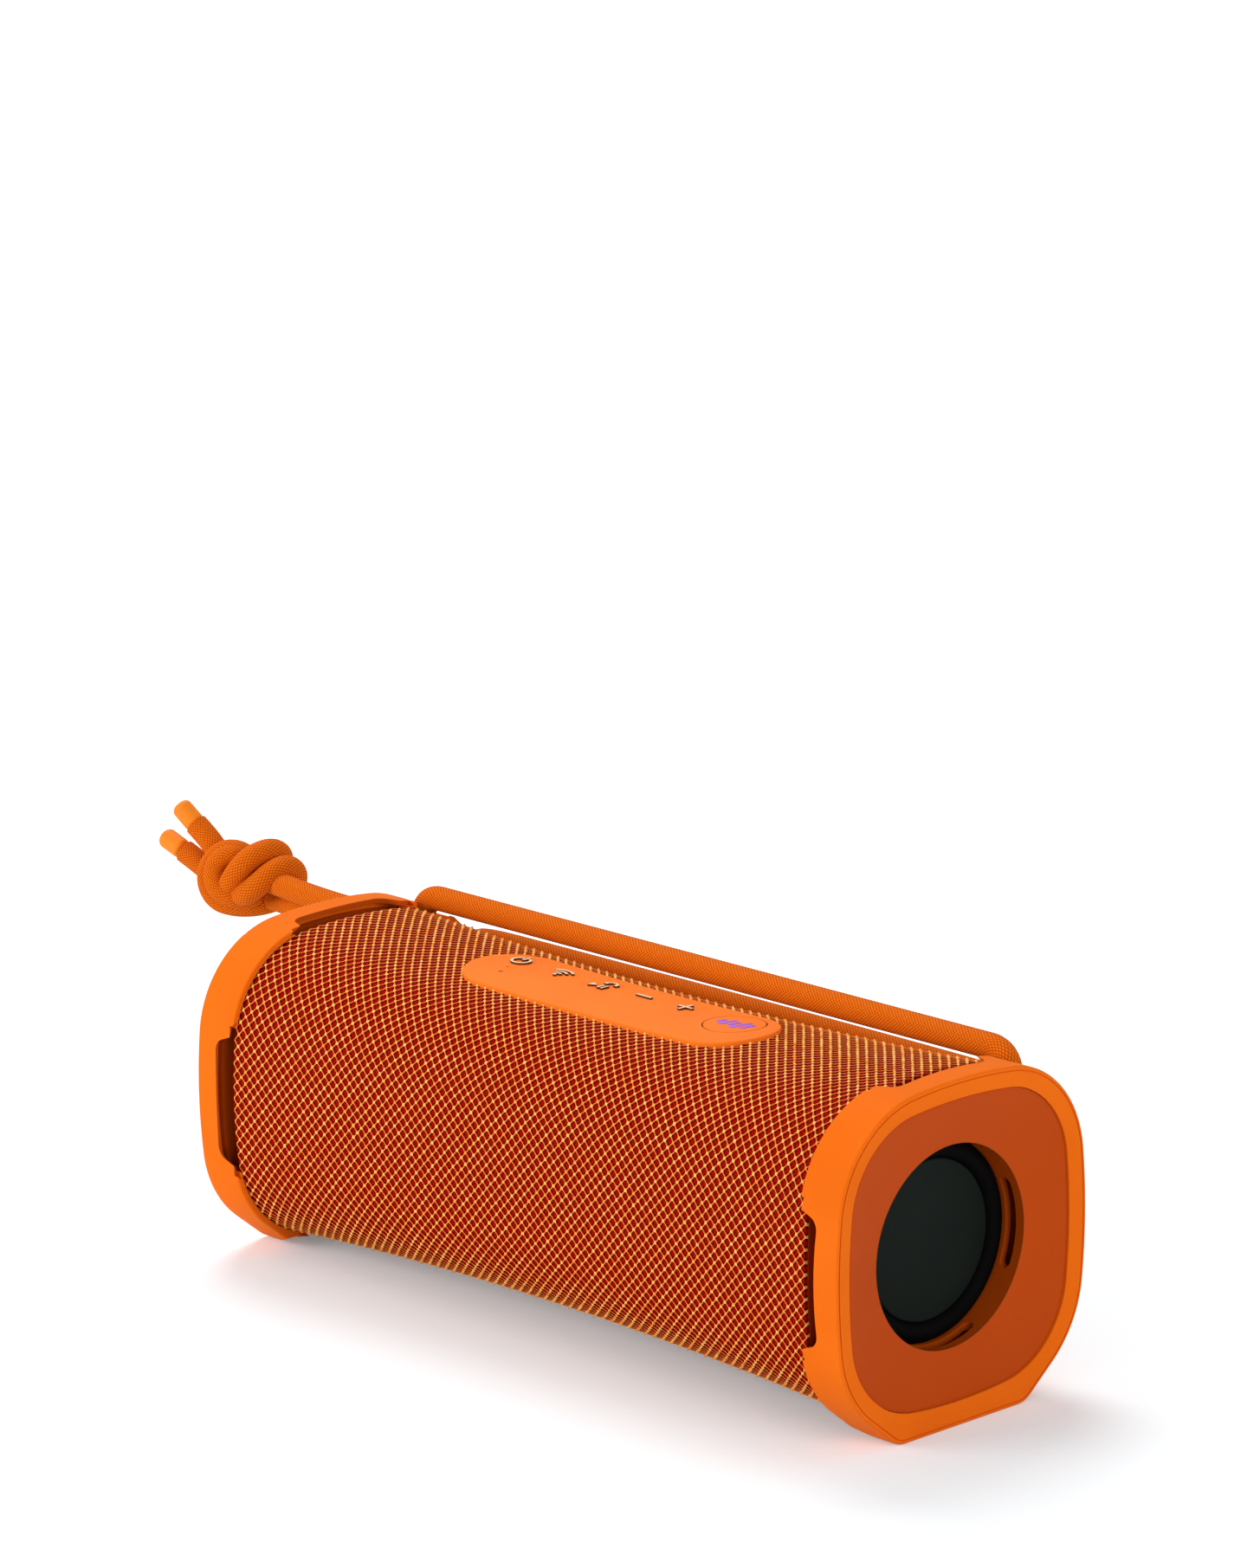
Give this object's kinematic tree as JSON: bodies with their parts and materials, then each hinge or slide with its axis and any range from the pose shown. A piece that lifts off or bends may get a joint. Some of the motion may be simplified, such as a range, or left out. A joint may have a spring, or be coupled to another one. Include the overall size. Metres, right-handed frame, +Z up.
{
  "type": "portable bluetooth speaker",
  "caption": "Compact cylindrical cloth-covered wireless speaker with soft end caps, a control panel on top, a passive radiator in each end and a knotted carrying strap.",
  "frame": {"origin": "on the surface the end caps stand on, under the middle of the body", "axes": "+X right along the length, -Y the front with the drivers, +Z up through the control panel"},
  "size_m": [0.308, 0.0852, 0.0788],
  "materials": {
    "cap_rubber": "satin, softly moulded",
    "cover_plastic": "satin",
    "panel_rubber": "satin",
    "cloth": "two-tone knit",
    "housing_plastic": "matte",
    "seal_rubber": "matte",
    "disc_plastic": "satin",
    "collar_black": "satin",
    "cone_paper": "matte",
    "dome_cloth": "matte",
    "magnet_iron": "plated",
    "board": "satin",
    "components": "matte",
    "socket_steel": "satin",
    "screw_steel": "satin",
    "cell_wrap": "shrink film",
    "light_lens": "clear",
    "strap_rope": "braided cord",
    "tip_sleeve": "heat-shrunk sleeve"
  },
  "bodies": {
    "speaker_body": {"battery_cells": "cell_wrap", "battery_holder": "housing_plastic", "board_components": "components", "board_screws": "screw_steel", "charge_light": "light_lens", "control_panel": "panel_rubber", "end_screws": "screw_steel", "fabric_sleeve": "cloth", "front_housing": "housing_plastic", "key_board": "board", "left_end_cap": "cap_rubber", "left_end_frame": "housing_plastic", "left_end_gasket": "seal_rubber", "left_radiator_cover": "cover_plastic", "left_radiator_frame": "collar_black", "left_radiator_surround": "seal_rubber", "main_board": "board", "microphone": "components", "port_bezel": "housing_plastic", "port_pin": "socket_steel", "rear_housing": "housing_plastic", "right_end_cap": "cap_rubber", "right_end_frame": "housing_plastic", "right_end_gasket": "seal_rubber", "right_radiator_cover": "cover_plastic", "right_radiator_frame": "collar_black", "right_radiator_surround": "seal_rubber", "strap_cord": "strap_rope", "strap_knot": "strap_rope", "strap_tips": "tip_sleeve", "tact_switches": "components", "tweeter_grille": "housing_plastic", "tweeter_housing": "housing_plastic", "usb_socket": "socket_steel", "woofer_basket": "housing_plastic", "woofer_grille": "housing_plastic", "woofer_magnet": "magnet_iron", "woofer_screws": "screw_steel", "woofer_spider": "seal_rubber", "woofer_surround": "seal_rubber"},
    "power_key_body": {"power_key": "panel_rubber"},
    "wireless_key_body": {"wireless_key": "panel_rubber"},
    "play_key_body": {"play_key": "panel_rubber"},
    "minus_key_body": {"minus_key": "panel_rubber"},
    "plus_key_body": {"plus_key": "panel_rubber"},
    "boost_key_body": {"boost_key": "panel_rubber"},
    "port_cover_body": {"port_cover": "panel_rubber"},
    "woofer_cone_body": {"woofer_cone": "cone_paper"},
    "tweeter_dome_body": {"tweeter_dome": "dome_cloth"},
    "left_radiator_body": {"left_radiator_disc": "disc_plastic"},
    "right_radiator_body": {"right_radiator_disc": "disc_plastic"}
  },
  "joints": [
    {"name": "power_key_press", "type": "slide", "parent": "speaker_body", "child": "power_key_body", "axis": [0, 0, -1], "range_m": [0, 0.0004], "stiffness_N_per_m": 2000},
    {"name": "wireless_key_press", "type": "slide", "parent": "speaker_body", "child": "wireless_key_body", "axis": [0, 0, -1], "range_m": [0, 0.0004], "stiffness_N_per_m": 2000},
    {"name": "play_key_press", "type": "slide", "parent": "speaker_body", "child": "play_key_body", "axis": [0, 0, -1], "range_m": [0, 0.0004], "stiffness_N_per_m": 2000},
    {"name": "minus_key_press", "type": "slide", "parent": "speaker_body", "child": "minus_key_body", "axis": [0, 0, -1], "range_m": [0, 0.0004], "stiffness_N_per_m": 2000},
    {"name": "plus_key_press", "type": "slide", "parent": "speaker_body", "child": "plus_key_body", "axis": [0, 0, -1], "range_m": [0, 0.0004], "stiffness_N_per_m": 2000},
    {"name": "boost_key_press", "type": "slide", "parent": "speaker_body", "child": "boost_key_body", "axis": [0, 0, -1], "range_m": [0, 0.0004], "stiffness_N_per_m": 2500},
    {"name": "port_cover_hinge", "type": "hinge", "parent": "speaker_body", "child": "port_cover_body", "pos_m": [0.04005, 0.03355, 0.03], "axis": [0, 0, 1], "range_deg": [0, 95]},
    {"name": "woofer_cone_travel", "type": "slide", "parent": "speaker_body", "child": "woofer_cone_body", "axis": [0, -1, 0], "range_m": [-0.002, 0.002], "stiffness_N_per_m": 1500, "deforming": ["woofer_surround", "woofer_spider"]},
    {"name": "tweeter_dome_travel", "type": "slide", "parent": "speaker_body", "child": "tweeter_dome_body", "axis": [0, -1, 0], "range_m": [-0.0003, 0.0003], "stiffness_N_per_m": 1500},
    {"name": "left_radiator_travel", "type": "slide", "parent": "speaker_body", "child": "left_radiator_body", "axis": [-1, 0, 0], "range_m": [-0.0025, 0.0025], "stiffness_N_per_m": 800, "deforming": ["left_radiator_surround"]},
    {"name": "right_radiator_travel", "type": "slide", "parent": "speaker_body", "child": "right_radiator_body", "axis": [1, 0, 0], "range_m": [-0.0025, 0.0025], "stiffness_N_per_m": 800, "deforming": ["right_radiator_surround"]}
  ]
}
